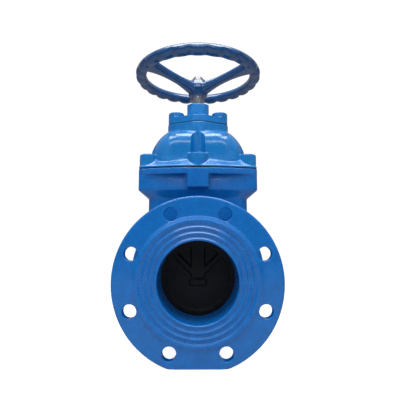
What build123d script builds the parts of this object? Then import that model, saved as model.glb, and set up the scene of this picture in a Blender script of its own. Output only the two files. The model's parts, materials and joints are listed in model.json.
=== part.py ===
"""Resilient-seated gate valve, DN 150, flanged, with a non-rising stem and a handwheel.

The valve stands on the flats of its two pipe flanges. The origin lies on that base plane, under
the stem. +Z points up along the stem, the water flows along Y, and X runs across the valve.
The wedge is modelled closed. Heights named *_up are measured from the bore axis.
"""

import math
import os

from build123d import *

os.makedirs("parts", exist_ok=True)

# ---------------------------------------------------------------- driving sizes, in millimetres

# Pipe side
face_to_face = 210.0
flange_d = 285.0
flange_t = 20.0
raised_h = 3.0
raised_shoulder = 6.5
bolt_edge = 22.5
bolt_hole_d = 23.0
bolt_count = 8
port_d = 134.0
port_lip_r = 2.5
groove_count = 3
groove_start = 7.3
groove_margin = 8.1
groove_r = 4.2
groove_lift = 1.6
foot_cut = 8.5
barrel_wall = 9.0
barrel_corner_r = 7.0
flange_edge_r = 3.0
raised_edge_r = 2.0
cone_inset = 10.0
barrel_root = 12.0

# Castings
wall = 8.0
chamber_side_gap = 5.0
chamber_corner = 20.0
cavity_corner = 4.5
joint_overhang = 18.0
joint_bulge = 18.0
joint_corner_r = 8.0
joint_end_gap = 15.0
joint_plate_t = 12.5
belly_inset = 10.0
belly_h = 28.0
taper_h = 15.5
front_block_w = 39.0
front_block_h = 37.5
slope_h = 13.0
slope_inset = (14.0, 8.0, 11.0)
bonnet_edge_h = 2.5
corner_boss_r = 17.5
corner_boss_lead = 3.0
centre_boss_r = 21.0
boss_h = 28.0
relief_r = 13.0
boss_edge_r = 2.0
neck_h = 25.0
front_screw_inset = 12.5
dome_above_roof = 10.0
dome_side_inset = 0.38
dome_front_inset = 0.63
dome_swell = 1.6
side_spring_h = 11.5
front_spring_h = 45.0
dome_corner = 0.88
dome_levels = [0.06, 0.40, 0.58, 0.72, 0.84, 0.93, 1.0]
room_side_inset = 0.36
room_corner = 0.72
room_gap = 1.0
room_levels = [0.0, 0.35, 0.6, 0.8, 0.92, 1.0]
gasket_t = 1.6
gland_gasket_t = 1.0

# Wedge
seal_lap = 13.0
raise_over_port = 53.5
seat_half = 27.0
seat_slope = math.tan(math.radians(1.5))
seat_gap = 0.4
rubber_t = 4.0
housing_h = 32.0
lip_t = 8.0
nut_wall_x = 6.0
nut_wall_y = 4.0
nut_h = 33.8
nut_corner_r = 3.0
core_cover = 4.0
rubber_cover = 3.0
side_cover = 0.5
pocket_gap = 0.25
face_recess_r = 58.0
face_recess_y = 23.1
core_recess_y = 19.5
channel_gap = 0.7
lining_t = 1.8
ear_h = 44.0
shoe_t = 10.4
shoe_half_y = 13.0
rail_half_y = 3.0
rail_depth = 4.0
rail_gap = 0.5
side_play = 0.6

# Stem and its trapezoidal thread, left-handed
thread_pitch = 5.0
thread_d = 28.0
thread_depth = 2.75
thread_angle = 15.0
thread_play = 0.3
stem_d = 25.0
shank_step = 1.0
shank_gap = 1.5
collar_step = 8.5
collar_t = 9.0
washer_t = 2.0
washer_lip = 1.0
washer_play = 0.1
stem_square = 19.0
stem_tip_chamfer = 1.0
running_gap = 0.05
axial_play = 0.1
roof_t = 11.5
wedge_headroom = 11.0

# Gland
lobe_wall = 20.5
lobe_r = 15.7
gland_wall = 11.0
neck_overhang = 1.0
gland_plate_t = 13.0
gland_boss_h = 24.0
hub_wall = 3.5
hub_h = 39.5
hub_chamfer = 8.5
hub_edge_r = 1.5
bush_wall = 5.5
bush_play = 0.1
bush_top_gap = 9.0
wiper_t = 4.5
wiper_w = 4.9
oring_clear = 0.3
oring_r = 1.3
back_seal_t = 5.0
back_seal_w = 2.0

# Screws: nominal diameter, head diameter and head height
bonnet_screw = (12.0, 18.0, 12.0)
gland_screw = (10.0, 16.0, 10.0)
bonnet_screw_l = 40.0
gland_screw_l = 28.0
screw_play = 0.05
hole_play = 0.75
head_play = 0.5
tap_runout = 4.0
plug_t = 4.0
plug_gap = 0.5
plug_recess = 0.5

# Handwheel
wheel_d = 252.0
rim_r = 10.8
rim_corner_r = 9.6
rim_up = 397.0
scallop_count = 24
scallop_r = 16.0
scallop_depth = 3.2
spoke_count = 3
spoke_turn = 3.0
wheel_hub_r = 21.0
wheel_hub_h = 32.0
stem_visible = 20.5
square_play = 0.15
wheel_washer_d = 30.0
wheel_washer_t = 2.5
wheel_bolt_d = 10.0
wheel_bolt_af = 17.0
wheel_bolt_head = 7.0
wheel_bolt_l = 25.0

# ---------------------------------------------------------------- sizes that follow from them

flange_r = flange_d / 2
bore_z = flange_r - foot_cut
port_r = port_d / 2
pcd_r = flange_r - bolt_edge
raised_r = pcd_r - bolt_hole_d / 2
land_r = raised_r - raised_shoulder
groove_pitch = (land_r - port_r - groove_start - groove_margin) / (groove_count - 1)
barrel_r = port_r + barrel_wall
half_length = face_to_face / 2

disc_r = port_r + seal_lap
lift = disc_r + port_r
chamber_in = disc_r + chamber_side_gap
chamber_out = chamber_in + wall
chamber_depth = seat_half + wall + chamber_side_gap

seam_up = lift + raise_over_port
plate_up = seam_up - joint_plate_t
belly_up = plate_up - belly_h
taper_up = belly_up - taper_h
joint_half = chamber_out + joint_overhang
joint_corner_y = seat_half + joint_end_gap
joint_front_y = joint_corner_y + joint_bulge
boss_x = joint_half - corner_boss_r
boss_y = joint_corner_y - corner_boss_r + corner_boss_lead
front_screw_y = joint_front_y - front_screw_inset
centre_boss_y = joint_front_y - centre_boss_r
boss_up = seam_up + boss_h
screw_spots = [
    (boss_x, boss_y),
    (boss_x, -boss_y),
    (-boss_x, boss_y),
    (-boss_x, -boss_y),
    (0, front_screw_y),
    (0, -front_screw_y),
]

thread_root_d = thread_d - 2 * thread_depth
nut_w = thread_d + 2 * nut_wall_x
nut_d = thread_d + 2 * nut_wall_y
shank_d = stem_d + 2 * shank_step
stem_hole_d = shank_d + 2 * shank_gap
collar_d = stem_d + 2 * collar_step
washer_d = collar_d + 2 * washer_lip
collar_bore_d = washer_d + 2 * washer_lip
bush_d = stem_d + 2 * bush_wall
wiper_d = stem_d + 2 * wiper_w
hub_w = bush_d + 2 * hub_wall
gland_r = collar_bore_d / 2 + gland_wall
lobe_reach = collar_bore_d / 2 + lobe_wall

housing_up = disc_r + housing_h
nut_top_up = housing_up - lip_t
pocket_up = nut_top_up - nut_h - pocket_gap
roof_up = housing_up + lift + wedge_headroom
back_seal_up = roof_up + 3.0
collar_seat_up = roof_up + roof_t
collar_up = collar_seat_up + washer_t + axial_play
upper_washer_up = collar_up + collar_t + axial_play
neck_top_up = upper_washer_up + washer_t + 2 * axial_play
gland_up = neck_top_up + gland_gasket_t
gland_boss_up = gland_up + gland_boss_h
hub_top_up = gland_up + hub_h
bush_top_up = hub_top_up - bush_top_gap
neck_bottom_up = neck_top_up - neck_h

stem_foot_up = port_r + 7.0
thread_foot_up = stem_foot_up + thread_pitch / 2
thread_length = roof_up - thread_foot_up - 4.0
wheel_hub_up = hub_top_up + stem_visible
wheel_hub_top_up = wheel_hub_up + wheel_hub_h
square_top_up = wheel_hub_top_up - 3.0

bonnet_floor_up = boss_up - plug_recess - plug_t - plug_gap - bonnet_screw[2]
gland_floor_up = gland_boss_up - plug_recess - plug_t - plug_gap - gland_screw[2]
gland_spots = [(lobe_reach, 0), (-lobe_reach, 0)]


def height(up):
    """Height above the base plane of a level measured from the bore axis."""
    return bore_z + up


def level(up):
    """Horizontal plane at a level measured from the bore axis."""
    return Plane.XY.offset(height(up))


def half_gap(up):
    """Half the distance between the two sloping seats at a level."""
    return seat_half + seat_slope * up


def save(part, name):
    """Label one finished piece and write it."""
    part.label = name
    export_step(part, f"parts/{name}.step")


# ---------------------------------------------------------------- shapes used more than once


def joint_outline(half_w, corner_y, front_y, corner_r):
    """Outline of the body to bonnet joint: straight ends, bulging front and back."""
    with BuildSketch() as outline:
        with BuildLine():
            ThreePointArc((-half_w, -corner_y), (0, -front_y), (half_w, -corner_y))
            Line((half_w, -corner_y), (half_w, corner_y))
            ThreePointArc((half_w, corner_y), (0, front_y), (-half_w, corner_y))
            Line((-half_w, corner_y), (-half_w, -corner_y))
        make_face()
        fillet(outline.vertices(), corner_r)
    return outline.sketch


def lozenge(grow):
    """Two-screw gland outline: a round middle with a lobe on each side."""
    with BuildSketch() as outline:
        Circle(gland_r + grow)
        with Locations(*gland_spots):
            Circle(lobe_r + grow)
        make_hull()
    return outline.sketch


def screws(spots, sizes, length, floor_up):
    """Socket-head cap screws with their heads resting on one level."""
    shank_d, head_d, head_h = sizes
    with BuildPart() as group:
        with BuildSketch(level(floor_up)):
            with Locations(*spots):
                Circle(head_d / 2)
        extrude(amount=head_h)
        with BuildSketch(level(floor_up)):
            with Locations(*spots):
                Circle(shank_d / 2)
        extrude(amount=-length)
        with BuildSketch(level(floor_up + head_h)):
            with Locations(*spots):
                RegularPolygon(head_d * 0.25, 6, major_radius=False)
        extrude(amount=-head_h / 2, mode=Mode.SUBTRACT)
    return group.part


def plugs(spots, diameter, top_up):
    """Wax plugs that close the recesses over the screw heads."""
    with BuildPart() as group:
        with BuildSketch(level(top_up - plug_recess)):
            with Locations(*spots):
                Circle(diameter / 2)
        extrude(amount=-plug_t)
    return group.part


def ring(inner_r, outer_r, bottom_up, thickness):
    """Flat ring around the stem."""
    with BuildPart() as flat:
        with BuildSketch(level(bottom_up)):
            Circle(outer_r)
            Circle(inner_r, mode=Mode.SUBTRACT)
        extrude(amount=thickness)
    return flat.part


def o_rings(centre_r, section_r, levels_up):
    """Round-section rings around the stem, one at each level."""
    with BuildPart() as group:
        for up in levels_up:
            with BuildSketch(Plane.XZ):
                with Locations((centre_r, height(up))):
                    Circle(section_r)
            revolve(axis=Axis.Z)
    return group.part


def thread_ridge(root_r, tip_r, play, length):
    """Left-handed trapezoidal ridge that starts at the foot of the stem thread."""
    flank = math.tan(math.radians(thread_angle))
    pitch_r = (thread_d - thread_pitch / 2) / 2
    half_root = thread_pitch / 4 + flank * (pitch_r - root_r) + play
    half_tip = thread_pitch / 4 + flank * (pitch_r - tip_r) + play
    with BuildPart() as ridge:
        with BuildLine(level(thread_foot_up)) as path:
            Helix(pitch=thread_pitch, height=length, radius=pitch_r, lefthand=True)
        with BuildSketch(Plane.XZ):
            with BuildLine():
                Polyline(
                    (root_r, height(thread_foot_up) - half_root),
                    (tip_r, height(thread_foot_up) - half_tip),
                    (tip_r, height(thread_foot_up) + half_tip),
                    (root_r, height(thread_foot_up) + half_root),
                    close=True,
                )
            make_face()
        sweep(path=path.wire(), is_frenet=True)
    return ridge.part


# ---------------------------------------------------------------- body

bore_axis = Axis((0, 0, bore_z), (0, 1, 0))

with BuildPart() as cavity:
    with BuildSketch(Plane.YZ):
        with BuildLine():
            Polyline(
                (-half_gap(-chamber_in), height(-chamber_in)),
                (half_gap(-chamber_in), height(-chamber_in)),
                (half_gap(seam_up), height(seam_up)),
                (-half_gap(seam_up), height(seam_up)),
                close=True,
            )
        make_face()
    extrude(amount=chamber_in, both=True)
    with BuildSketch(Plane.XZ):
        with Locations((0, bore_z)):
            Circle(chamber_in)
            Rectangle(2 * chamber_in, seam_up, align=(Align.CENTER, Align.MIN))
    extrude(amount=chamber_depth, both=True, mode=Mode.INTERSECT)
    upright = cavity.edges().filter_by(lambda e: abs((e % 0.5).Z) > 0.99 and e.length > seam_up / 2)
    fillet(upright, cavity_corner)

with BuildPart() as body:
    # Oval chamber with straight sides and a round bowl below the bore axis
    with BuildSketch(level(0)):
        RectangleRounded(2 * chamber_out, 2 * chamber_depth, chamber_corner)
    extrude(amount=taper_up)
    with BuildSketch(level(0)):
        RectangleRounded(2 * chamber_out, 2 * chamber_depth, chamber_corner)
        Rectangle(chamber_out, 2 * chamber_depth, align=(Align.MAX, Align.CENTER), mode=Mode.SUBTRACT)
    revolve(axis=bore_axis, revolution_arc=180)

    # Taper out to the belly under the joint plate
    with BuildSketch(level(taper_up)):
        RectangleRounded(2 * chamber_out, 2 * chamber_depth, chamber_corner)
    with BuildSketch(level(belly_up)):
        add(joint_outline(joint_half, joint_corner_y, joint_front_y - belly_inset, joint_corner_r))
    loft(ruled=True)
    with BuildSketch(level(belly_up)):
        add(joint_outline(joint_half, joint_corner_y, joint_front_y - belly_inset, joint_corner_r))
    extrude(amount=belly_h)
    with BuildSketch(level(plate_up)):
        add(joint_outline(joint_half, joint_corner_y, joint_front_y, joint_corner_r))
    extrude(amount=joint_plate_t - gasket_t / 2)

    # Blocks for the front and back screws, flush with the joint plate
    with BuildSketch(level(seam_up - front_block_h)):
        add(joint_outline(joint_half, joint_corner_y, joint_front_y, joint_corner_r))
        Rectangle(front_block_w, 2 * joint_front_y, mode=Mode.INTERSECT)
    extrude(amount=front_block_h - gasket_t / 2)

    # Pipe flanges with raised faces and sealing grooves, and the barrels behind them
    with BuildSketch(level(0)) as flange_profile:
        plate_back = half_length - flange_t
        with BuildLine():
            Polyline(
                (0, half_length),
                (land_r, half_length),
                (raised_r, half_length - raised_h),
                (flange_r, half_length - raised_h),
                (flange_r, plate_back),
                (barrel_r, plate_back),
                (barrel_r, chamber_depth + barrel_root),
                (chamber_out - cone_inset, chamber_depth - cone_inset),
                (0, chamber_depth - cone_inset),
                close=True,
            )
        make_face()
        outer_corners = flange_profile.vertices().filter_by_position(Axis.X, flange_r - 1, flange_r + 1)
        fillet(outer_corners, flange_edge_r)
        raised_corners = flange_profile.vertices().filter_by_position(Axis.X, land_r - 1, raised_r + 1)
        fillet(raised_corners, raised_edge_r)
        inner_corner = flange_profile.vertices().filter_by_position(Axis.X, barrel_r - 1, barrel_r + 1)
        fillet(inner_corner.sort_by(Axis.Y)[-1], barrel_corner_r)
        for i in range(groove_count):
            with Locations((port_r + groove_start + i * groove_pitch, half_length + groove_lift)):
                Circle(groove_r, mode=Mode.SUBTRACT)
        mirror(about=Plane.XZ)
    revolve(axis=bore_axis)

    # Hollow inside: wedge chamber and waterway
    add(cavity.part, mode=Mode.SUBTRACT)
    with BuildSketch(Plane.XZ):
        with Locations((0, bore_z)):
            Circle(port_r)
    extrude(amount=half_length, both=True, mode=Mode.SUBTRACT)
    mouths = body.edges().filter_by(GeomType.CIRCLE).group_by(Axis.Y)
    fillet([mouths[0].sort_by(SortBy.RADIUS)[0], mouths[-1].sort_by(SortBy.RADIUS)[0]], port_lip_r)

    # Rails that guide the shoes of the wedge
    for side in (-1, 1):
        rail_centre = side * (chamber_in - rail_depth / 2 + 0.5)
        with BuildSketch(level(-2)):
            with Locations((rail_centre, 0)):
                Rectangle(rail_depth + 1, 2 * rail_half_y)
        extrude(amount=seam_up - 6)

    # Pipe bolt holes in both flanges
    for side in (-1, 1):
        with BuildSketch(Plane.XZ.offset(side * half_length)):
            with Locations((0, bore_z)):
                with PolarLocations(pcd_r, bolt_count, start_angle=180 / bolt_count):
                    Circle(bolt_hole_d / 2)
        extrude(amount=-side * (flange_t + 0.01), mode=Mode.SUBTRACT)

    # Flats that the valve stands on
    with BuildSketch(Plane.XY):
        Rectangle(flange_d, face_to_face + 2)
    extrude(amount=-foot_cut - 1, mode=Mode.SUBTRACT)

    # Tapped holes for the bonnet screws
    with BuildSketch(level(seam_up)):
        with Locations(*screw_spots):
            Circle(bonnet_screw[0] / 2 + screw_play)
    extrude(amount=-(bonnet_screw_l - (bonnet_floor_up - seam_up) + tap_runout), mode=Mode.SUBTRACT)

save(body.part, "body")

# ---------------------------------------------------------------- bonnet and its gasket


def drop(start_up, end_up, inset, up):
    """How far an arc that starts upright at start_up has come in at a level."""
    rise = end_up - start_up
    arc_r = (rise**2 + inset**2) / (2 * inset)
    return arc_r - math.sqrt(arc_r**2 - max(0.0, up - start_up) ** 2)


dome_half = chamber_out + dome_swell
dome_depth = joint_front_y - front_screw_inset
dome_top_up = roof_up + dome_above_roof
side_spring_up = seam_up + side_spring_h
front_spring_up = seam_up + front_spring_h


def dome_section(up):
    """Rounded section of the dome at a level: an arc for each side, a quarter ellipse in front."""
    half_w = dome_half - drop(side_spring_up, dome_top_up, dome_half * dome_side_inset, up)
    share = max(0.0, up - front_spring_up) / (dome_top_up - front_spring_up)
    half_d = dome_depth * (1 - dome_front_inset * (1 - math.sqrt(1 - share**2)))
    with BuildSketch(level(up)) as section:
        RectangleRounded(2 * half_w, 2 * half_d, dome_corner * half_d)
    return section.sketch


def room(up):
    """Half width and half depth that the raised wedge needs inside the bonnet."""
    share = (up - seam_up) / (roof_up - seam_up)
    half_w = chamber_in - drop(seam_up, roof_up, chamber_in * room_side_inset, up)
    narrow_half_d = nut_d / 2 + core_cover + rubber_cover + room_gap
    half_d = half_gap(seam_up) - (half_gap(seam_up) - narrow_half_d) * share**2
    return half_w, half_d


with BuildPart() as bonnet:
    # Joint flange: a low edge, then a slope up to the dome
    with BuildSketch(level(seam_up + gasket_t / 2)):
        add(joint_outline(joint_half, joint_corner_y, joint_front_y, joint_corner_r))
    extrude(amount=bonnet_edge_h)
    edge_up = seam_up + gasket_t / 2 + bonnet_edge_h
    with BuildSketch(level(edge_up)):
        add(joint_outline(joint_half, joint_corner_y, joint_front_y, joint_corner_r))
    with BuildSketch(level(edge_up + slope_h)):
        half_w, corner_y, front_y = (joint_half, joint_corner_y, joint_front_y)
        end_inset, corner_inset, front_inset = slope_inset
        add(joint_outline(half_w - end_inset, corner_y - corner_inset, front_y - front_inset, joint_corner_r))
    loft(ruled=True)

    # Dome
    dome_rise = dome_top_up - seam_up
    for share in dome_levels:
        add(dome_section(seam_up + share * dome_rise))
    loft()

    # Bosses that take the joint screws, with room above each for the tool
    with BuildSketch(level(seam_up + gasket_t / 2)):
        with Locations(*screw_spots[:4]):
            Circle(corner_boss_r)
        with Locations((0, centre_boss_y), (0, -centre_boss_y)):
            Circle(centre_boss_r)
    extrude(amount=boss_h - gasket_t / 2)
    boss_rims = bonnet.edges().filter_by(GeomType.CIRCLE).filter_by_position(
        Axis.Z, height(boss_up) - 0.1, height(boss_up) + 0.1
    )
    fillet(boss_rims, boss_edge_r)
    with BuildSketch(level(boss_up)):
        with Locations(*screw_spots):
            Circle(relief_r)
    extrude(amount=dome_top_up - boss_up + 20, mode=Mode.SUBTRACT)

    # Neck that carries the gland
    with BuildSketch(level(neck_bottom_up)):
        add(lozenge(neck_overhang))
    extrude(amount=neck_top_up - neck_bottom_up)

    # Room for the raised wedge
    for share in room_levels:
        up = seam_up + share * (roof_up - seam_up)
        half_w, half_d = room(up)
        with BuildSketch(level(up)):
            RectangleRounded(2 * half_w, 2 * half_d, room_corner * half_d)
    loft(mode=Mode.SUBTRACT)

    # Stem hole, seal groove and the bore that holds the stem collar
    with BuildSketch(level(roof_up - 5)):
        Circle(stem_hole_d / 2)
    extrude(amount=roof_t + 6, mode=Mode.SUBTRACT)
    with BuildSketch(level(back_seal_up)):
        Circle(stem_hole_d / 2 + back_seal_w)
    extrude(amount=back_seal_t, mode=Mode.SUBTRACT)
    with BuildSketch(level(collar_seat_up)):
        Circle(collar_bore_d / 2)
    extrude(amount=neck_top_up - collar_seat_up, mode=Mode.SUBTRACT)

    # Screw holes: through the joint flange, and tapped in the neck
    with BuildSketch(level(seam_up)):
        with Locations(*screw_spots):
            Circle(bonnet_screw[0] / 2 + hole_play)
    extrude(amount=boss_h, mode=Mode.SUBTRACT)
    with BuildSketch(level(bonnet_floor_up)):
        with Locations(*screw_spots):
            Circle(bonnet_screw[1] / 2 + head_play)
    extrude(amount=boss_up - bonnet_floor_up, mode=Mode.SUBTRACT)
    with BuildSketch(level(neck_top_up)):
        with Locations(*gland_spots):
            Circle(gland_screw[0] / 2 + screw_play)
    extrude(amount=-(gland_screw_l - (gland_floor_up - neck_top_up) + tap_runout), mode=Mode.SUBTRACT)

save(bonnet.part, "bonnet")

with BuildPart() as bonnet_gasket:
    with BuildSketch(level(seam_up - gasket_t / 2)):
        add(joint_outline(joint_half - 1, joint_corner_y - 1, joint_front_y - 1, joint_corner_r - 1))
        half_w, half_d = room(seam_up)
        RectangleRounded(2 * half_w, 2 * (half_d + 1), room_corner * half_d, mode=Mode.SUBTRACT)
        with Locations(*screw_spots):
            Circle(bonnet_screw[0] / 2 + hole_play, mode=Mode.SUBTRACT)
    extrude(amount=gasket_t)

save(bonnet_gasket.part, "bonnet_gasket")
save(screws(screw_spots, bonnet_screw, bonnet_screw_l, bonnet_floor_up), "bonnet_screws")
save(plugs(screw_spots, bonnet_screw[1] + 2 * head_play, boss_up), "bonnet_screw_plugs")

# ---------------------------------------------------------------- gland, bush and stem seals

outer_ring_levels = [gland_up + 6.0, gland_up + 22.0]
inner_ring_levels = [gland_up + 12.0, gland_up + 16.5]
outer_groove_w = 3.8
inner_groove_w = 3.2
groove_floor_gap = 0.1

with BuildPart() as gland:
    with BuildSketch(level(gland_up)):
        add(lozenge(0))
    extrude(amount=gland_plate_t)
    with BuildSketch(level(gland_up)):
        with Locations(*gland_spots):
            Circle(lobe_r)
    extrude(amount=gland_boss_h)
    with BuildSketch(level(gland_up)):
        hub_outline = Rectangle(hub_w, hub_w)
        chamfer(hub_outline.vertices(), hub_chamfer)
    extrude(amount=hub_h)
    lobe_rims = gland.edges().filter_by_position(
        Axis.Z, height(gland_boss_up) - 0.1, height(gland_boss_up) + 0.1
    )
    fillet(lobe_rims, boss_edge_r)
    fillet(gland.edges().group_by(Axis.Z)[-1], hub_edge_r)
    with BuildSketch(level(gland_up)):
        Circle(bush_d / 2 + bush_play)
    extrude(amount=bush_top_up - gland_up, mode=Mode.SUBTRACT)
    with BuildSketch(level(bush_top_up)):
        Circle(stem_d / 2 + head_play)
    extrude(amount=bush_top_gap, mode=Mode.SUBTRACT)
    with BuildSketch(level(hub_top_up - wiper_t)):
        Circle(wiper_d / 2)
    extrude(amount=wiper_t, mode=Mode.SUBTRACT)
    with BuildSketch(level(gland_up)):
        with Locations(*gland_spots):
            Circle(gland_screw[0] / 2 + hole_play)
    extrude(amount=gland_boss_h, mode=Mode.SUBTRACT)
    with BuildSketch(level(gland_floor_up)):
        with Locations(*gland_spots):
            Circle(gland_screw[1] / 2 + head_play)
    extrude(amount=gland_boss_up - gland_floor_up, mode=Mode.SUBTRACT)

save(gland.part, "gland_cover")

with BuildPart() as gland_gasket:
    with BuildSketch(level(neck_top_up)):
        add(lozenge(-0.5))
        Circle(collar_bore_d / 2, mode=Mode.SUBTRACT)
        with Locations(*gland_spots):
            Circle(gland_screw[0] / 2 + hole_play, mode=Mode.SUBTRACT)
    extrude(amount=gland_gasket_t)

save(gland_gasket.part, "gland_gasket")
save(screws(gland_spots, gland_screw, gland_screw_l, gland_floor_up), "gland_screws")
save(plugs(gland_spots, gland_screw[1] + 2 * head_play, gland_boss_up), "gland_screw_plugs")

with BuildPart() as stem_bush:
    bush_foot_up = upper_washer_up + washer_t + axial_play
    with BuildSketch(level(bush_foot_up)):
        Circle(bush_d / 2)
        Circle(stem_d / 2 + running_gap, mode=Mode.SUBTRACT)
    extrude(amount=bush_top_up - bush_foot_up)
    for up in outer_ring_levels:
        with BuildSketch(level(up - outer_groove_w / 2)):
            Circle(bush_d / 2 + 1)
            Circle(bush_d / 2 - 2 * oring_r - groove_floor_gap, mode=Mode.SUBTRACT)
        extrude(amount=outer_groove_w, mode=Mode.SUBTRACT)
    for up in inner_ring_levels:
        with BuildSketch(level(up - inner_groove_w / 2)):
            Circle(stem_d / 2 + oring_clear + 2 * oring_r + groove_floor_gap)
        extrude(amount=inner_groove_w, mode=Mode.SUBTRACT)

save(stem_bush.part, "stem_bush")
save(o_rings(bush_d / 2 - oring_r, oring_r, outer_ring_levels), "bush_outer_o_rings")
save(o_rings(stem_d / 2 + oring_clear + oring_r, oring_r, inner_ring_levels), "stem_o_rings")
washer_hole_r = shank_d / 2 + washer_play
save(ring(washer_hole_r, washer_d / 2, collar_seat_up, washer_t), "lower_thrust_washer")
save(ring(washer_hole_r, washer_d / 2, upper_washer_up, washer_t), "upper_thrust_washer")
back_seal = ring(shank_d / 2 + oring_clear, stem_hole_d / 2 + back_seal_w, back_seal_up, back_seal_t)
save(back_seal, "back_seal")
save(ring(stem_d / 2 + oring_clear, wiper_d / 2, hub_top_up - wiper_t, wiper_t), "dust_wiper")

# ---------------------------------------------------------------- stem

with BuildPart() as stem:
    with BuildSketch(level(stem_foot_up)):
        Circle(thread_root_d / 2)
    extrude(amount=collar_up - stem_foot_up)
    with BuildSketch(level(thread_foot_up + thread_length)):
        Circle(shank_d / 2)
    extrude(amount=collar_up - thread_foot_up - thread_length)
    with BuildSketch(level(collar_up)):
        Circle(collar_d / 2)
    extrude(amount=collar_t)
    with BuildSketch(level(collar_up)):
        Circle(stem_d / 2)
    extrude(amount=wheel_hub_up - collar_up)
    with BuildSketch(level(wheel_hub_up)):
        Circle(stem_d / 2)
        Rectangle(stem_square, stem_square, mode=Mode.INTERSECT)
    extrude(amount=square_top_up - wheel_hub_up)
    with BuildSketch(level(square_top_up)):
        Circle(wheel_bolt_d / 2 + screw_play)
    extrude(amount=-wheel_bolt_l, mode=Mode.SUBTRACT)
    chamfer(stem.faces().sort_by(Axis.Z)[0].edges(), stem_tip_chamfer)
    add(thread_ridge(thread_root_d / 2 - thread_play, thread_d / 2, 0.0, thread_length - thread_pitch / 2))

save(stem.part, "stem")

# ---------------------------------------------------------------- wedge and what rides on it


def wedge_form(inset, housing_half_x, housing_half_y):
    """Tapered disc with guide ears and a nut housing, drawn in on every side by an inset."""
    half_low = half_gap(-disc_r) - seat_gap - inset
    half_high = half_gap(disc_r) - seat_gap - inset
    with BuildPart() as form:
        with BuildSketch(Plane.YZ):
            with BuildLine():
                Polyline(
                    (-half_low, height(-disc_r)),
                    (half_low, height(-disc_r)),
                    (half_high, height(disc_r)),
                    (-half_high, height(disc_r)),
                    close=True,
                )
            make_face()
        extrude(amount=disc_r, both=True)
        with BuildSketch(Plane.XZ):
            with Locations((0, bore_z)):
                Circle(disc_r - inset)
            with Locations((0, height(ear_h / 2))):
                Rectangle(2 * (ear_half - inset), ear_h - 2 * inset)
            for side in (-1, 1):
                with Locations((side * (ear_half - inset + disc_r / 2), height(ear_h / 2))):
                    Rectangle(disc_r, ear_h + 2, mode=Mode.SUBTRACT)
        extrude(amount=2 * seat_half, both=True, mode=Mode.INTERSECT)
        with BuildSketch(level(disc_r - housing_h)):
            Rectangle(2 * housing_half_x, 2 * housing_half_y)
        extrude(amount=2 * housing_h)
    return form.part


def nut_pocket():
    """Room for the nut, open on one face of the wedge so that it slides in sideways."""
    half_x = nut_w / 2 + pocket_gap
    back_y = nut_d / 2 + pocket_gap
    with BuildPart() as slot:
        with BuildSketch(level(pocket_up)):
            with Locations((0, back_y)):
                Rectangle(2 * half_x, 2 * seat_half + back_y, align=(Align.CENTER, Align.MAX))
        extrude(amount=nut_top_up - pocket_up)
    return slot.part


ear_half = chamber_in - side_play - shoe_t
lug_half_y = 5.0
lug_half_z = 14.0
lug_reach = 4.0
ear_mid_up = ear_h / 2
channel_r = thread_d / 2 + channel_gap

with BuildPart() as wedge_core:
    add(wedge_form(rubber_t, nut_w / 2 + core_cover + side_cover, nut_d / 2 + core_cover))
    for side in (-1, 1):
        with BuildSketch(Plane.XZ.offset(side * core_recess_y)):
            with Locations((0, bore_z)):
                Circle(face_recess_r + rubber_t)
        extrude(amount=side * seat_half, mode=Mode.SUBTRACT)
    with BuildSketch(Plane.YZ):
        with Locations((0, height(ear_mid_up))):
            Rectangle(2 * lug_half_y, 2 * lug_half_z)
    extrude(amount=ear_half + lug_reach, both=True)
    with BuildSketch(level(-disc_r)):
        Circle(channel_r + lining_t)
    extrude(amount=disc_r + housing_up, mode=Mode.SUBTRACT)
    add(nut_pocket(), mode=Mode.SUBTRACT)

save(wedge_core.part, "wedge_core")

rib_w = 24.0
slant_rib_w = 9.0
band_w = 30.0
band_h = 9.0

with BuildPart() as wedge_rubber:
    housing_cover = core_cover + rubber_cover
    add(wedge_form(0.0, nut_w / 2 + housing_cover + side_cover, nut_d / 2 + housing_cover))
    for side in (-1, 1):
        with BuildSketch(Plane.XZ.offset(side * face_recess_y)):
            with Locations((0, bore_z)):
                Circle(face_recess_r)
                Rectangle(rib_w, face_recess_r + 2, align=(Align.CENTER, Align.MIN), mode=Mode.SUBTRACT)
                with Locations((0, -band_h)):
                    Rectangle(band_w, band_h, mode=Mode.SUBTRACT)
            for lean in (-45, 45):
                with Locations(Location((0, bore_z), lean)):
                    Rectangle(
                        slant_rib_w, face_recess_r + 2, align=(Align.CENTER, Align.MIN), mode=Mode.SUBTRACT
                    )
        extrude(amount=side * seat_half, mode=Mode.SUBTRACT)
    add(wedge_core.part, mode=Mode.SUBTRACT)
    with BuildSketch(level(-disc_r - 1)):
        Circle(channel_r)
    extrude(amount=disc_r + housing_up + 2, mode=Mode.SUBTRACT)
    add(nut_pocket(), mode=Mode.SUBTRACT)
    with BuildSketch(level(nut_top_up)):
        Circle(channel_r + lining_t)
    extrude(amount=lip_t, mode=Mode.SUBTRACT)

save(wedge_rubber.part, "wedge_rubber")

with BuildPart() as wedge_nut:
    with BuildSketch(level(pocket_up + pocket_gap / 2)):
        Rectangle(nut_w, nut_d)
        Circle(thread_root_d / 2 + 0.5, mode=Mode.SUBTRACT)
    extrude(amount=nut_h)
    uprights = wedge_nut.edges().filter_by(Axis.Z).filter_by(GeomType.LINE)
    fillet(uprights.filter_by(lambda e: abs((e @ 0).X) > nut_w / 2 - 1), nut_corner_r)
    groove_tip_r = thread_d / 2 + thread_play + 0.1
    groove_l = nut_top_up - thread_foot_up + thread_pitch
    groove = thread_ridge(thread_root_d / 2 + thread_play, groove_tip_r, thread_play, groove_l)
    add(groove, mode=Mode.SUBTRACT)
    with BuildSketch(level(pocket_up)):
        Circle(groove_tip_r)
    extrude(amount=thread_foot_up - pocket_up, mode=Mode.SUBTRACT)

save(wedge_nut.part, "wedge_nut")

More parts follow.
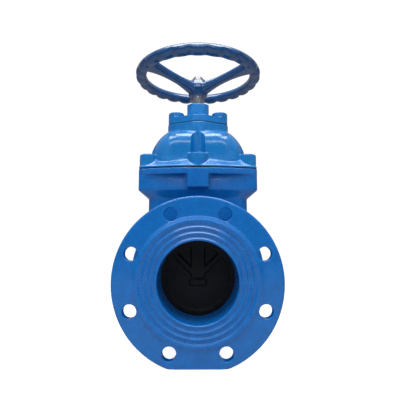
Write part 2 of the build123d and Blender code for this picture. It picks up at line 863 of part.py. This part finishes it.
for side, name in ((-1, "left_guide_shoe"), (1, "right_guide_shoe")):
    with BuildPart() as shoe:
        with BuildSketch(level(0.3)):
            with Locations((side * (ear_half + shoe_t / 2 + 0.02), 0)):
                Rectangle(shoe_t - 0.04, 2 * shoe_half_y)
            with Locations((side * (chamber_in - rail_depth / 2), 0)):
                Rectangle(rail_depth + 2 * rail_gap, 2 * (rail_half_y + rail_gap), mode=Mode.SUBTRACT)
        extrude(amount=ear_h - 0.6)
        with BuildSketch(Plane.YZ):
            with Locations((0, height(ear_mid_up))):
                Rectangle(2 * lug_half_y + 0.2, 2 * lug_half_z + 0.2)
        extrude(amount=side * (ear_half + lug_reach + 0.1), mode=Mode.SUBTRACT)
    save(shoe.part, name)

# ---------------------------------------------------------------- handwheel

rim_circle_r = wheel_d / 2 - rim_r
scallop_up = rim_up - rim_r - scallop_r + scallop_depth
spoke_foot_up = wheel_hub_up + 12.0
spoke_tip_up = rim_up - 3.0
spoke_foot_size = (20.0, 13.0)
spoke_mid_size = (22.0, 11.0)
spoke_tip_size = (42.0, 13.0)

with BuildPart() as handwheel:
    with BuildSketch(Plane.XZ):
        with Locations((rim_circle_r, height(rim_up))):
            RectangleRounded(2 * rim_r, 2 * rim_r, rim_corner_r)
    revolve(axis=Axis.Z)
    for i in range(scallop_count):
        heading = 2 * math.pi / scallop_count * (i + 0.5)
        outward = Vector(math.cos(heading), math.sin(heading), 0)
        spot = outward * (rim_circle_r - 2 * rim_r) + Vector(0, 0, height(scallop_up))
        with BuildSketch(Plane(origin=spot, x_dir=(0, 0, 1), z_dir=outward)):
            Circle(scallop_r)
        extrude(amount=4 * rim_r, mode=Mode.SUBTRACT)
    for i in range(spoke_count):
        heading = math.radians(90 + spoke_turn + 360 / spoke_count * i)
        outward = Vector(math.cos(heading), math.sin(heading), 0)
        across = Vector(-math.sin(heading), math.cos(heading), 0)
        stations = (
            (8.0, spoke_foot_up, spoke_foot_size),
            (wheel_d * 0.24, (spoke_foot_up * 0.55 + spoke_tip_up * 0.45), spoke_mid_size),
            (rim_circle_r - 4, spoke_tip_up, spoke_tip_size),
        )
        for reach, up, size in stations:
            spot = Vector(0, 0, height(up)) + outward * reach
            with BuildSketch(Plane(origin=spot, x_dir=across, z_dir=outward)):
                RectangleRounded(size[0], size[1], 5)
        loft()
    with BuildSketch(level(wheel_hub_up)):
        Circle(wheel_hub_r)
    extrude(amount=wheel_hub_h)
    with BuildSketch(level(wheel_hub_up)):
        Rectangle(stem_square + 2 * square_play, stem_square + 2 * square_play)
    extrude(amount=wheel_hub_h, mode=Mode.SUBTRACT)

save(handwheel.part, "handwheel")
save(ring(wheel_bolt_d / 2 + 0.25, wheel_washer_d / 2, wheel_hub_top_up, wheel_washer_t), "handwheel_washer")

with BuildPart() as wheel_bolt:
    bolt_seat_up = wheel_hub_top_up + wheel_washer_t
    with BuildSketch(level(bolt_seat_up)):
        RegularPolygon(wheel_bolt_af / 2, 6, major_radius=False)
    extrude(amount=wheel_bolt_head)
    with BuildSketch(level(bolt_seat_up)):
        Circle(wheel_bolt_d / 2)
    extrude(amount=-(wheel_bolt_l - 2))

save(wheel_bolt.part, "handwheel_bolt")
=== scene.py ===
# %% [markdown]
# # A flanged gate valve with a handwheel
# A gate valve is a set of iron castings under one thick coat of blue epoxy: a body with two pipe
# flanges, a domed bonnet, a small gland cover and a three-spoke handwheel. Inside, a rubber-lined
# wedge hangs on a stainless stem. The CAD model fixes every size and every moving part. This
# script gives the castings their soft foundry edges, and each surface its own finish.

import math

import bmesh
import bpy
from mathutils import Matrix, Vector
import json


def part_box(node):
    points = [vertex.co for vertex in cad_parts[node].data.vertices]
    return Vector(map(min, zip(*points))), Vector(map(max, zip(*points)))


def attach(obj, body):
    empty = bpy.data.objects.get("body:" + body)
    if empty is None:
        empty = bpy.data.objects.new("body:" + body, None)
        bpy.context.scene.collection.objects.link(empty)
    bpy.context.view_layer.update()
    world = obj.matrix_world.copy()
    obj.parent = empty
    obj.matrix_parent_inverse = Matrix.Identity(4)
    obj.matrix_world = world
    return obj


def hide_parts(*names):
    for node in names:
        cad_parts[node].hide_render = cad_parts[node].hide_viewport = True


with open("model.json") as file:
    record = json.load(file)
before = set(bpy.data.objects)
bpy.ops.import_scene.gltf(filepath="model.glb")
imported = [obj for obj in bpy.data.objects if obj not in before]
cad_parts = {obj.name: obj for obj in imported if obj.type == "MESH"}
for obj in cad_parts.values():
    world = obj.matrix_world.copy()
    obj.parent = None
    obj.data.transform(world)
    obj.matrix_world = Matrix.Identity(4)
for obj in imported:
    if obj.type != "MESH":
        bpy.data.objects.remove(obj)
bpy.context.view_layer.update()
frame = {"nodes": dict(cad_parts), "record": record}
nodes = frame["nodes"]

# %% [markdown]
# Every place below is worked out from the frame. A mount gives the bore's height, and the boxes of
# the nodes give the body and the wheel. One millimetre is written as mm, because the scene is in
# metres.

# %% Measure the frame
mm = 0.001
mounts = {mount["name"]: mount for mount in frame["record"]["mounts"]}
bore_z = mounts["flange_bolts_a"]["pos_m"][2]
half_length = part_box("body")[1].y
wheel_low, wheel_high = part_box("handwheel")
print("bore height", round(bore_z, 4), "wheel top", round(wheel_high.z, 4))

# %% [markdown]
# ## Finishes
# A material is a small graph of nodes. These helpers keep the graphs short: one starts a material
# with its Principled shader, one places a node with its values and links, and one starts a group
# with named sockets.

# %% Helpers for node graphs
def new_material(name, **values):
    """A material whose Principled shader has these values on its own sockets."""
    material = bpy.data.materials.new(name)
    material.use_nodes = True
    shader = material.node_tree.nodes["Principled BSDF"]
    for label, value in values.items():
        shader.inputs[label.replace("_", " ")].default_value = value
    return material, material.node_tree, shader


def place(tree, kind, inputs=None, **settings):
    """One node, with settings as attributes and inputs as values or as links from other sockets."""
    node = tree.nodes.new(kind)
    for label, value in settings.items():
        setattr(node, label, value)
    for label, value in (inputs or {}).items():
        if isinstance(value, bpy.types.NodeSocket):
            tree.links.new(value, node.inputs[label])
        else:
            node.inputs[label].default_value = value
    return node


def new_group(name, inputs, outputs):
    """An empty node group with named sockets. Each input is a name and its starting value."""
    group = bpy.data.node_groups.new(name, "ShaderNodeTree")
    for label, value in inputs:
        socket = group.interface.new_socket(label, in_out="INPUT", socket_type="NodeSocketFloat")
        socket.default_value = value
    for label, kind in outputs:
        group.interface.new_socket(label, in_out="OUTPUT", socket_type="NodeSocket" + kind)
    start = group.nodes.new("NodeGroupInput")
    end = group.nodes.new("NodeGroupOutput")
    return group, start.outputs, end.inputs


def use_group(tree, group, **values):
    """Place a group in a material, with its inputs set by name."""
    node = place(tree, "ShaderNodeGroup", node_tree=group)
    for label, value in values.items():
        node.inputs[label.replace("_", " ")].default_value = value
    return node


def spread(tree, value, low, high, to_low=0.0, to_high=1.0):
    """Stretch the part of a value between low and high over a new range."""
    return place(tree, "ShaderNodeMapRange", {"Value": value, "From Min": low, "From Max": high,
                                              "To Min": to_low, "To Max": to_high}).outputs["Result"]


def mix_colours(tree, factor, first, second):
    """Blend two colours by a factor."""
    mix = place(tree, "ShaderNodeMix", {"Factor": factor, 6: first, 7: second}, data_type="RGBA")
    return mix.outputs[2]


print("node helpers ready")

# %% [markdown]
# ### Cast skin under a flowed coat
# Cast iron comes out of sand with a fine grain and slow waves. The epoxy flows over both and adds
# its own orange peel. A photograph of a casting could be wrapped on, but three layers of noise
# added as one height follow any shape without a seam. The group turns that height into a normal,
# so each material can set its own depths in millimetres.

# %% Group: cast skin
skin, skin_in, skin_out = new_group(
    "cast_skin", [("Wave depth", 0.4), ("Grain depth", 0.06), ("Peel depth", 0.03)],
    [("Normal", "Vector"), ("Mottle", "Float"), ("Grain", "Float")])
place_of = place(skin, "ShaderNodeTexCoord").outputs["Object"]
height_so_far = None
skin_layers = (("Wave depth", 85.0, 2.0), ("Grain depth", 420.0, 3.0), ("Peel depth", 900.0, 1.0))
for label, scale, detail in skin_layers:
    layer = place(skin, "ShaderNodeTexNoise", {"Vector": place_of, "Scale": scale, "Detail": detail})
    inputs = {0: layer.outputs["Fac"], 1: skin_in[label]}
    if height_so_far is not None:
        inputs[2] = height_so_far
    step = place(skin, "ShaderNodeMath", inputs, operation="MULTIPLY_ADD")
    if height_so_far is None:
        step.inputs[2].default_value = 0.0
        skin.links.new(layer.outputs["Fac"], skin_out["Mottle"])
    if label == "Grain depth":
        skin.links.new(layer.outputs["Fac"], skin_out["Grain"])
    height_so_far = step.outputs[0]
bump = place(skin, "ShaderNodeBump", {"Height": height_so_far, "Strength": 1.0, "Distance": mm})
skin.links.new(bump.outputs["Normal"], skin_out["Normal"])
print("group cast_skin:", len(skin.nodes), "nodes")

# %% [markdown]
# ### Turned lines
# A lathe leaves fine rings around a shaft, and a bar of steel has faint streaks of tone. Both are
# noise squeezed along the stem, so that it changes quickly with height and hardly at all around.

# %% Group: turned lines
turned, turned_in, turned_out = new_group(
    "turned_lines", [("Line depth", 0.02), ("Lines per metre", 3000.0)],
    [("Normal", "Vector"), ("Tone", "Float")])
place_of = place(turned, "ShaderNodeTexCoord").outputs["Object"]
squeezed = place(turned, "ShaderNodeMapping", {"Vector": place_of, "Scale": (0.02, 0.02, 1.0)})
rings = place(turned, "ShaderNodeTexNoise", {"Vector": squeezed.outputs["Vector"],
                                             "Scale": turned_in["Lines per metre"], "Detail": 2.0})
ring_height = place(turned, "ShaderNodeMath", {0: rings.outputs["Fac"], 1: turned_in["Line depth"]},
                    operation="MULTIPLY")
bump = place(turned, "ShaderNodeBump", {"Height": ring_height.outputs[0], "Strength": 1.0, "Distance": mm})
cloud = place(turned, "ShaderNodeTexNoise", {"Vector": place_of, "Scale": 60.0, "Detail": 4.0})
turned.links.new(bump.outputs["Normal"], turned_out["Normal"])
turned.links.new(cloud.outputs["Fac"], turned_out["Tone"])
print("group turned_lines:", len(turned.nodes), "nodes")

# %% [markdown]
# ### Blue epoxy
# Fusion-bonded epoxy is a thick, even, glossy powder coat. It could be one flat blue, but a real
# coat is a little deeper where it runs thick and paler where it is thin, and its gloss is broken
# by the grain below. So the colour drifts between two blues with the slow waves of the casting,
# the roughness follows the grain, and a clear coat on the shader makes the sharp reflection.
# The one coat is made three times. The body's copy has the coat's own blue. The bonnet's copy is
# paler, which is painted light from above. The wheel's copy is much darker, which is painted shade.

# %% Material: blue epoxy
def make_epoxy(name, deep, bright, depths, roughness, coat, coat_roughness):
    """Blue powder coat over a casting. The depths are those of the waves, grain and peel."""
    material, tree, shader = new_material(name, Coat_Roughness=coat_roughness, Coat_Weight=coat,
                                          Specular_IOR_Level=0.35)
    cast = use_group(tree, skin, Wave_depth=depths[0], Grain_depth=depths[1], Peel_depth=depths[2])
    colour = mix_colours(tree, spread(tree, cast.outputs["Mottle"], 0.3, 0.7), deep, bright)
    tree.links.new(colour, shader.inputs["Base Color"])
    gloss = spread(tree, cast.outputs["Grain"], 0.3, 0.7, roughness - 0.05, roughness + 0.08)
    tree.links.new(gloss, shader.inputs["Roughness"])
    tree.links.new(cast.outputs["Normal"], shader.inputs["Normal"])
    return material


body_blue = make_epoxy("epoxy_on_body", (0.0008, 0.128, 0.45, 1), (0.0012, 0.155, 0.53, 1),
                       (0.20, 0.03, 0.02), 0.28, 0.6, 0.10)
# The bonnet's copy of the same coat is paler than the body's: painted light on the upper dome, where light
# from above falls.
bonnet_blue_painted_light = make_epoxy("epoxy_on_bonnet_painted_light", (0.0012, 0.160, 0.47, 1), (0.0022, 0.200, 0.57, 1),
                         (0.35, 0.04, 0.02), 0.24, 0.8, 0.09)
# The wheel's copy of the same coat is far darker: painted shade, because the wheel is mostly seen from
# below.
wheel_blue_painted_shade = make_epoxy("epoxy_on_wheel_painted_shade", (0.0015, 0.052, 0.17, 1), (0.0025, 0.070, 0.23, 1),
                        (0.22, 0.02, 0.01), 0.24, 1.0, 0.07)
print("three coats of epoxy")

# %% [markdown]
# ### Metals
# The stem is stainless steel, the nut and the bush are brass, and the screws are plated steel. All
# three were turned on a lathe, so they share the turned lines. The tone drifts a little, as rolled
# bar does, and plating is cloudier than bare steel.

# %% Materials: stainless, brass and plated steel
def make_metal(name, dark, light, line_depth, roughness):
    """Turned metal with fine rings and a slow drift of tone."""
    material, tree, shader = new_material(name, Metallic=1.0)
    lathe = use_group(tree, turned, Line_depth=line_depth)
    colour = mix_colours(tree, spread(tree, lathe.outputs["Tone"], 0.35, 0.65), dark, light)
    tree.links.new(colour, shader.inputs["Base Color"])
    gloss = spread(tree, lathe.outputs["Tone"], 0.35, 0.65, roughness, roughness + 0.1)
    tree.links.new(gloss, shader.inputs["Roughness"])
    tree.links.new(lathe.outputs["Normal"], shader.inputs["Normal"])
    return material


stainless = make_metal("stainless_stem", (0.62, 0.62, 0.63, 1), (0.76, 0.76, 0.77, 1), 0.003, 0.24)
brass = make_metal("turned_brass", (0.55, 0.36, 0.12, 1), (0.70, 0.48, 0.18, 1), 0.015, 0.25)
plated = make_metal("plated_steel", (0.42, 0.43, 0.45, 1), (0.62, 0.63, 0.65, 1), 0.01, 0.28)
print("three metals")

# %% [markdown]
# ### Rubber, wax, plastic and bare iron
# The soft and plain parts are dull. Rubber has a faint grey bloom, wax is mottled and slightly
# glossy, the plastic is milky, and the iron under the rubber wears a dull primer. One small
# builder makes all four from the cast skin, with its own two colours and depths.

# %% Materials: rubber, wax, plastic and primer
def make_dull(name, dark, light, depths, roughness, **values):
    """A dull surface in two close colours with a fine uneven skin."""
    material, tree, shader = new_material(name, **values)
    cast = use_group(tree, skin, Wave_depth=depths[0], Grain_depth=depths[1], Peel_depth=depths[2])
    colour = mix_colours(tree, spread(tree, cast.outputs["Grain"], 0.35, 0.7), dark, light)
    tree.links.new(colour, shader.inputs["Base Color"])
    gloss = spread(tree, cast.outputs["Mottle"], 0.3, 0.7, roughness - 0.06, roughness + 0.06)
    tree.links.new(gloss, shader.inputs["Roughness"])
    tree.links.new(cast.outputs["Normal"], shader.inputs["Normal"])
    return material


rubber = make_dull("black_epdm", (0.0025, 0.0028, 0.0032, 1),
                   (0.008, 0.0085, 0.0095, 1), (0.15, 0.04, 0.02), 0.48, Specular_IOR_Level=0.25)
wax = make_dull("blue_wax", (0.002, 0.09, 0.36, 1), (0.004, 0.13, 0.46, 1), (0.3, 0.1, 0.02), 0.4)
plastic = make_dull("milky_plastic", (0.62, 0.61, 0.57, 1), (0.72, 0.71, 0.67, 1), (0.05, 0.02, 0.01), 0.35)
primer = make_dull("primed_core", (0.05, 0.05, 0.055, 1), (0.09, 0.09, 0.095, 1), (0.3, 0.1, 0.05), 0.6)
print("four dull materials")

# %% [markdown]
# Each CAD node keeps its shape and gets one of these finishes. Anything that is not in the list is
# a seal, and seals are black rubber.

# %% Put every CAD node in its finish
# The bonnet and gland cover take the paler copy of the coat, which is painted light. The wheel takes the
# darker copy, which is painted shade.
finishes = {
    "body": body_blue, "bonnet": bonnet_blue_painted_light, "gland_cover": bonnet_blue_painted_light, "handwheel": wheel_blue_painted_shade,
    "stem": stainless, "handwheel_washer": plated, "handwheel_bolt": plated, "bonnet_screws": plated,
    "gland_screws": plated, "stem_bush": brass, "wedge_nut": brass, "bonnet_screw_plugs": wax,
    "gland_screw_plugs": wax, "wedge_core": primer, "lower_thrust_washer": plastic,
    "upper_thrust_washer": plastic, "left_guide_shoe": plastic, "right_guide_shoe": plastic,
}
for name, node in nodes.items():
    node.material_slots[0].material = finishes.get(name, rubber)
print("finished nodes:", len(nodes))

# %% [markdown]
# ## Castings with foundry edges
# CAD castings have sharp creases where shapes meet, and a sand mould cannot hold those: every
# inner corner carries metal and every outer corner wears off, and the thick coat softens both
# again. Bevels could be cut edge by edge, but the shapes meet along hundreds of short edges.
# Instead a copy of each casting is rebuilt as one skin of small even faces, which a few rounds of
# smoothing ease at every edge at once, and the flat areas are then thinned out again.

# %% Helper: rebuild a closed mesh as a casting
def applied(piece):
    """Swap a piece's mesh for the one its modifiers make, and drop the modifiers."""
    graph = bpy.context.evaluated_depsgraph_get()
    result = bpy.data.meshes.new_from_object(piece.evaluated_get(graph))
    piece.modifiers.clear()
    piece.data = result


def cast_piece(shape, name, material, voxel, rounds, most_faces, carve=None):
    """Turn a closed bmesh into a casting with eased edges and at most this many triangles."""
    mesh = bpy.data.meshes.new(name)
    bmesh.ops.recalc_face_normals(shape, faces=shape.faces)
    shape.to_mesh(mesh)
    shape.free()
    piece = bpy.data.objects.new(name, mesh)
    bpy.context.scene.collection.objects.link(piece)
    remesh = piece.modifiers.new("even_skin", "REMESH")
    remesh.mode = "VOXEL"
    remesh.voxel_size = voxel * 1.0
    remesh.adaptivity = 0.0
    applied(piece)
    if carve:
        normals = [vert.normal.copy() for vert in piece.data.vertices]
        for vert, normal in zip(piece.data.vertices, normals):
            vert.co = carve(vert.co, normal)
    ease = piece.modifiers.new("ease_edges", "SMOOTH")
    ease.factor = 0.5
    ease.iterations = rounds
    full = 2 * len(piece.data.polygons)
    if full > most_faces:
        thin = piece.modifiers.new("thin_flats", "DECIMATE")
        thin.ratio = most_faces / full
    applied(piece)
    piece.data.shade_smooth()
    piece.data.materials.clear()
    piece.data.materials.append(material)
    print(name, "from", full, "to", len(piece.data.polygons), "faces")
    return piece


def recast(node_name, body_name, material, voxel, rounds, most_faces, carve=None):
    """A casting made from a CAD node, standing for that node and riding on its body."""
    shape = bmesh.new()
    shape.from_mesh(nodes[node_name].data)
    bmesh.ops.remove_doubles(shape, verts=shape.verts, dist=0.005 * mm)
    piece = cast_piece(shape, node_name + "_casting", material, voxel, rounds, most_faces, carve)
    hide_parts(node_name)
    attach(piece, body_name)
    return piece


print("casting helpers ready")

# %% [markdown]
# Under the joint plate the belly of the body is scooped out towards the middle block, so that a
# lens of shadow lies under the plate on each side. It could be a separate cut, but it has no
# sharp edge: it only deepens smoothly. So the points of the even skin are pressed in by an amount
# that grows towards the block and fades downwards.

# %% Recast the four castings
plate_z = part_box("body")[1].z - 11.7 * mm
block_half, scoop_end = 20.5 * mm, 98 * mm


def scoop(point, normal):
    """Press a point of the belly inwards where the lens of shadow lies."""
    drop = (plate_z - point.z) / (26 * mm)
    side = (abs(point.x) - block_half) / (scoop_end - block_half)
    outside = abs(point.y) > 36 * mm and normal.y * point.y > 0
    if not (0 < drop < 1 and 0 < side < 1 and outside):
        return point
    press = 4.2 * mm * (1 - side) ** 0.8 * min(1.0, side * 9) * min(1.0, drop * 9) * (1 - drop) ** 1.2
    return Vector((point.x, point.y - math.copysign(press, point.y), point.z))


body_piece = recast("body", "valve", body_blue, 1.2 * mm, 5, 195000, carve=scoop)
bonnet_piece = recast("bonnet", "valve", bonnet_blue_painted_light, 0.9 * mm, 8, 195000)
gland_piece = recast("gland_cover", "valve", bonnet_blue_painted_light, 0.6 * mm, 7, 120000)
wedge_piece = recast("wedge_rubber", "gate", rubber, 0.9 * mm, 7, 190000)

# %% [markdown]
# ## Handwheel
# The wheel is one casting: a rim with a wavy grip under it, three curved spokes and a small hub.
# The rim is spun from a circle, and its grip waves are pressed in by moving its points inwards,
# deepest on the outer lower side where the fingers go. Each spoke is a row of rounded sections
# bridged into a bar, and the hub is a spun profile. The parts overlap as closed bodies, so the
# same rebuilding that eases the castings also joins them.

# %% Handwheel sizes
rim_r = 10.8 * mm
rim_circle_r = wheel_high.x - rim_r
rim_z = wheel_high.z - rim_r
hub_z = wheel_low.z
hub_h = 32 * mm
wave_count = 24
wave_depth = 3.2 * mm
spoke_headings = [math.radians(93 + 120 * i) for i in range(3)]
wheel = bmesh.new()
print("rim radius", round(rim_circle_r, 4), "at height", round(rim_z, 4))

# %% Rim with its grip waves
section = bmesh.ops.create_circle(wheel, segments=32, radius=rim_r,
                                  matrix=Matrix.Translation((rim_circle_r, 0, rim_z))
                                  @ Matrix.Rotation(math.pi / 2, 4, "X"))["verts"]
ring_edges = list({edge for vert in section for edge in vert.link_edges})
bmesh.ops.spin(wheel, geom=ring_edges, cent=(0, 0, 0), axis=(0, 0, 1), angle=2 * math.pi,
               steps=360, use_merge=True)
bmesh.ops.remove_doubles(wheel, verts=wheel.verts, dist=0.01 * mm)
grip_side = Vector((0.5, 0, -0.866))
for vert in wheel.verts:
    heading = math.atan2(vert.co.y, vert.co.x)
    spoke = Vector((math.cos(heading), math.sin(heading), 0))
    outward = (vert.co - spoke * rim_circle_r - Vector((0, 0, rim_z))).normalized()
    facing = outward.dot(spoke * grip_side.x + Vector((0, 0, grip_side.z)))
    notch = (0.5 - 0.5 * math.cos(wave_count * heading)) ** 2.2
    press = max(0.0, facing) ** 1.2 * notch
    vert.co -= outward * wave_depth * press
print("rim points:", len(wheel.verts))


# %% Spokes
squareness = 0.62


def rounded_section(shape, centre, across, up, half_w, half_h, capped=False):
    """A ring of points shaped like a rounded bar's section. Gives its edges."""
    ring = bmesh.ops.create_circle(shape, cap_ends=capped, segments=28, radius=1.0)["verts"]
    for vert in ring:
        x, y = vert.co.x, vert.co.y
        squarer = [math.copysign(abs(value) ** squareness, value) for value in (x, y)]
        vert.co = centre + across * squarer[0] * half_w + up * squarer[1] * half_h
    return list({edge for vert in ring for edge in vert.link_edges})


def add_spoke(shape, heading):
    """One curved arm from the hub's side up to the rim."""
    spoke = Vector((math.cos(heading), math.sin(heading), 0))
    across = Vector((-math.sin(heading), math.cos(heading), 0))
    foot_r, tip_r = 8 * mm, rim_circle_r - 2 * mm
    foot_z, tip_z = hub_z + 14 * mm, rim_z - 1 * mm
    before = None
    upright = Vector((0, 0, 1))
    steps = 14
    for i in range(steps + 1):
        share = i / steps
        reach = foot_r + (tip_r - foot_r) * share
        rise = foot_z + (tip_z - foot_z) * (1.0 - (1.0 - share) ** 1.35)
        flare = max(0.0, (share - 0.5) / 0.5) ** 2
        hub_flare = max(0.0, (0.38 - share) / 0.38) ** 1.4
        half_w = (8.8 + 13.0 * flare + 5.5 * hub_flare) * mm
        half_h = (7.8 - 0.4 * math.sin(math.pi * share) + 4.6 * hub_flare) * mm
        edges = rounded_section(shape, spoke * reach + Vector((0, 0, rise)), across, upright,
                                half_w, half_h, capped=i in (0, steps))
        if before:
            bmesh.ops.bridge_loops(shape, edges=before + edges)
        before = edges


for heading in spoke_headings:
    add_spoke(wheel, heading)
print("wheel faces with spokes:", len(wheel.faces))

# %% Hub
profile = [(0.0, 0.0), (16.5, 0.0), (18.0, 1.5), (19.0, 6.0), (21.0, 14.0), (20.5, 22.0), (18.0, 28.0),
           (16.5, 31.5), (15.5, 32.0), (0.0, 32.0)]
points = [wheel.verts.new((r * mm, 0, hub_z + z * mm)) for r, z in profile]
lines = [wheel.edges.new(pair) for pair in zip(points, points[1:])]
bmesh.ops.spin(wheel, geom=points + lines, cent=(0, 0, 0), axis=(0, 0, 1), angle=2 * math.pi,
               steps=64, use_merge=True)
bmesh.ops.remove_doubles(wheel, verts=wheel.verts, dist=0.01 * mm)
# The wheel wears the darker copy of the coat, which is painted shade.
wheel_piece = cast_piece(wheel, "handwheel_casting", wheel_blue_painted_shade, 0.85 * mm, 5, 195000)
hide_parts("handwheel")
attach(wheel_piece, "spindle")

# %% [markdown]
# ## Floor, light and camera
# A catalogue picture stands on a bright sweep that has no horizon. The floor here is pale and
# glows a little, and the sky is white to the camera, so the two meet unseen. The light on the
# valve is separate: soft from above, weaker from the sides, and dark straight ahead, because a
# white room in front would wash the blue out of every flat face.

# %% Floor
bpy.ops.mesh.primitive_plane_add(size=12, location=(0, 0, 0))
floor = bpy.context.object
floor.name = "floor"
pale, pale_tree, pale_shader = new_material("pale_floor", Roughness=0.7, Base_Color=(0.4, 0.4, 0.41, 1),
                                            Specular_IOR_Level=0.1)
pale_shader.inputs["Emission Color"].default_value = (1, 1, 1, 1)
seen = place(pale_tree, "ShaderNodeLightPath").outputs["Is Camera Ray"]
pale_tree.links.new(spread(pale_tree, seen, 0.0, 1.0, 0.05, 0.9), pale_shader.inputs["Emission Strength"])
floor.data.materials.append(pale)

# %% Sky
world = bpy.data.worlds.new("studio")
bpy.context.scene.world = world
world.use_nodes = True
sky = world.node_tree
for node in list(sky.nodes):
    sky.nodes.remove(node)
direction = place(sky, "ShaderNodeTexCoord").outputs["Generated"]
parts = place(sky, "ShaderNodeSeparateXYZ", {0: direction})
upward = spread(sky, parts.outputs["Z"], 0.0, 0.9, 0.14, 0.55)
ahead = spread(sky, parts.outputs["Y"], -1.0, 0.1, 0.5, 1.0)
both = place(sky, "ShaderNodeMath", {0: upward, 1: ahead}, operation="MULTIPLY")
soft = place(sky, "ShaderNodeBackground", {"Color": (0.93, 0.95, 1.0, 1), "Strength": both.outputs[0]})
white = place(sky, "ShaderNodeBackground", {"Color": (1, 1, 1, 1), "Strength": 1.05})
seen = place(sky, "ShaderNodeLightPath").outputs["Is Camera Ray"]
chosen = place(sky, "ShaderNodeMixShader", {0: seen, 1: soft.outputs[0], 2: white.outputs[0]})
place(sky, "ShaderNodeOutputWorld", {"Surface": chosen.outputs[0]})
print("sky nodes:", len(sky.nodes))


# %% Softboxes
def softbox(name, spot, aim, width, depth, watts, shines=True):
    """A rectangular area light that looks at a point."""
    data = bpy.data.lights.new(name, "AREA")
    data.shape = "RECTANGLE"
    data.size, data.size_y, data.energy = width, depth, watts
    light = bpy.data.objects.new(name, data)
    bpy.context.scene.collection.objects.link(light)
    light.location = spot
    light.rotation_euler = (Vector(aim) - Vector(spot)).to_track_quat("-Z", "Y").to_euler()
    light.visible_camera = False
    light.visible_glossy = shines
    return light


middle = (0, 0, bore_z + 0.12)
softbox("overhead", (0, -0.30, 1.35), middle, 1.2, 0.5, 15)
softbox("front_top", (0, -1.75, 1.45), middle, 1.8, 0.35, 7)
softbox("front_left", (-1.0, -1.5, 1.2), middle, 0.9, 0.9, 9, shines=False)
softbox("front_right", (1.1, -1.5, 1.1), middle, 0.9, 0.9, 6, shines=False)
print("four softboxes")

# %% Camera
camera_data = bpy.data.cameras.new("camera")
camera = bpy.data.objects.new("camera", camera_data)
bpy.context.scene.collection.objects.link(camera)
camera_data.lens = 32.4
camera_data.sensor_width = 36
camera_data.shift_y = -0.0265
camera.location = (0, -half_length - 0.597, bore_z + 0.071)
camera.rotation_euler = (math.radians(90 + 7.76), 0, math.radians(-0.33))
bpy.context.scene.camera = camera
bpy.context.scene.view_settings.view_transform = "Standard"
print("camera at", tuple(round(v, 3) for v in camera.location))

# %% [markdown]
# ## The end of the script
# The new castings must not make the valve larger than its CAD model.

# %% Import json
import json
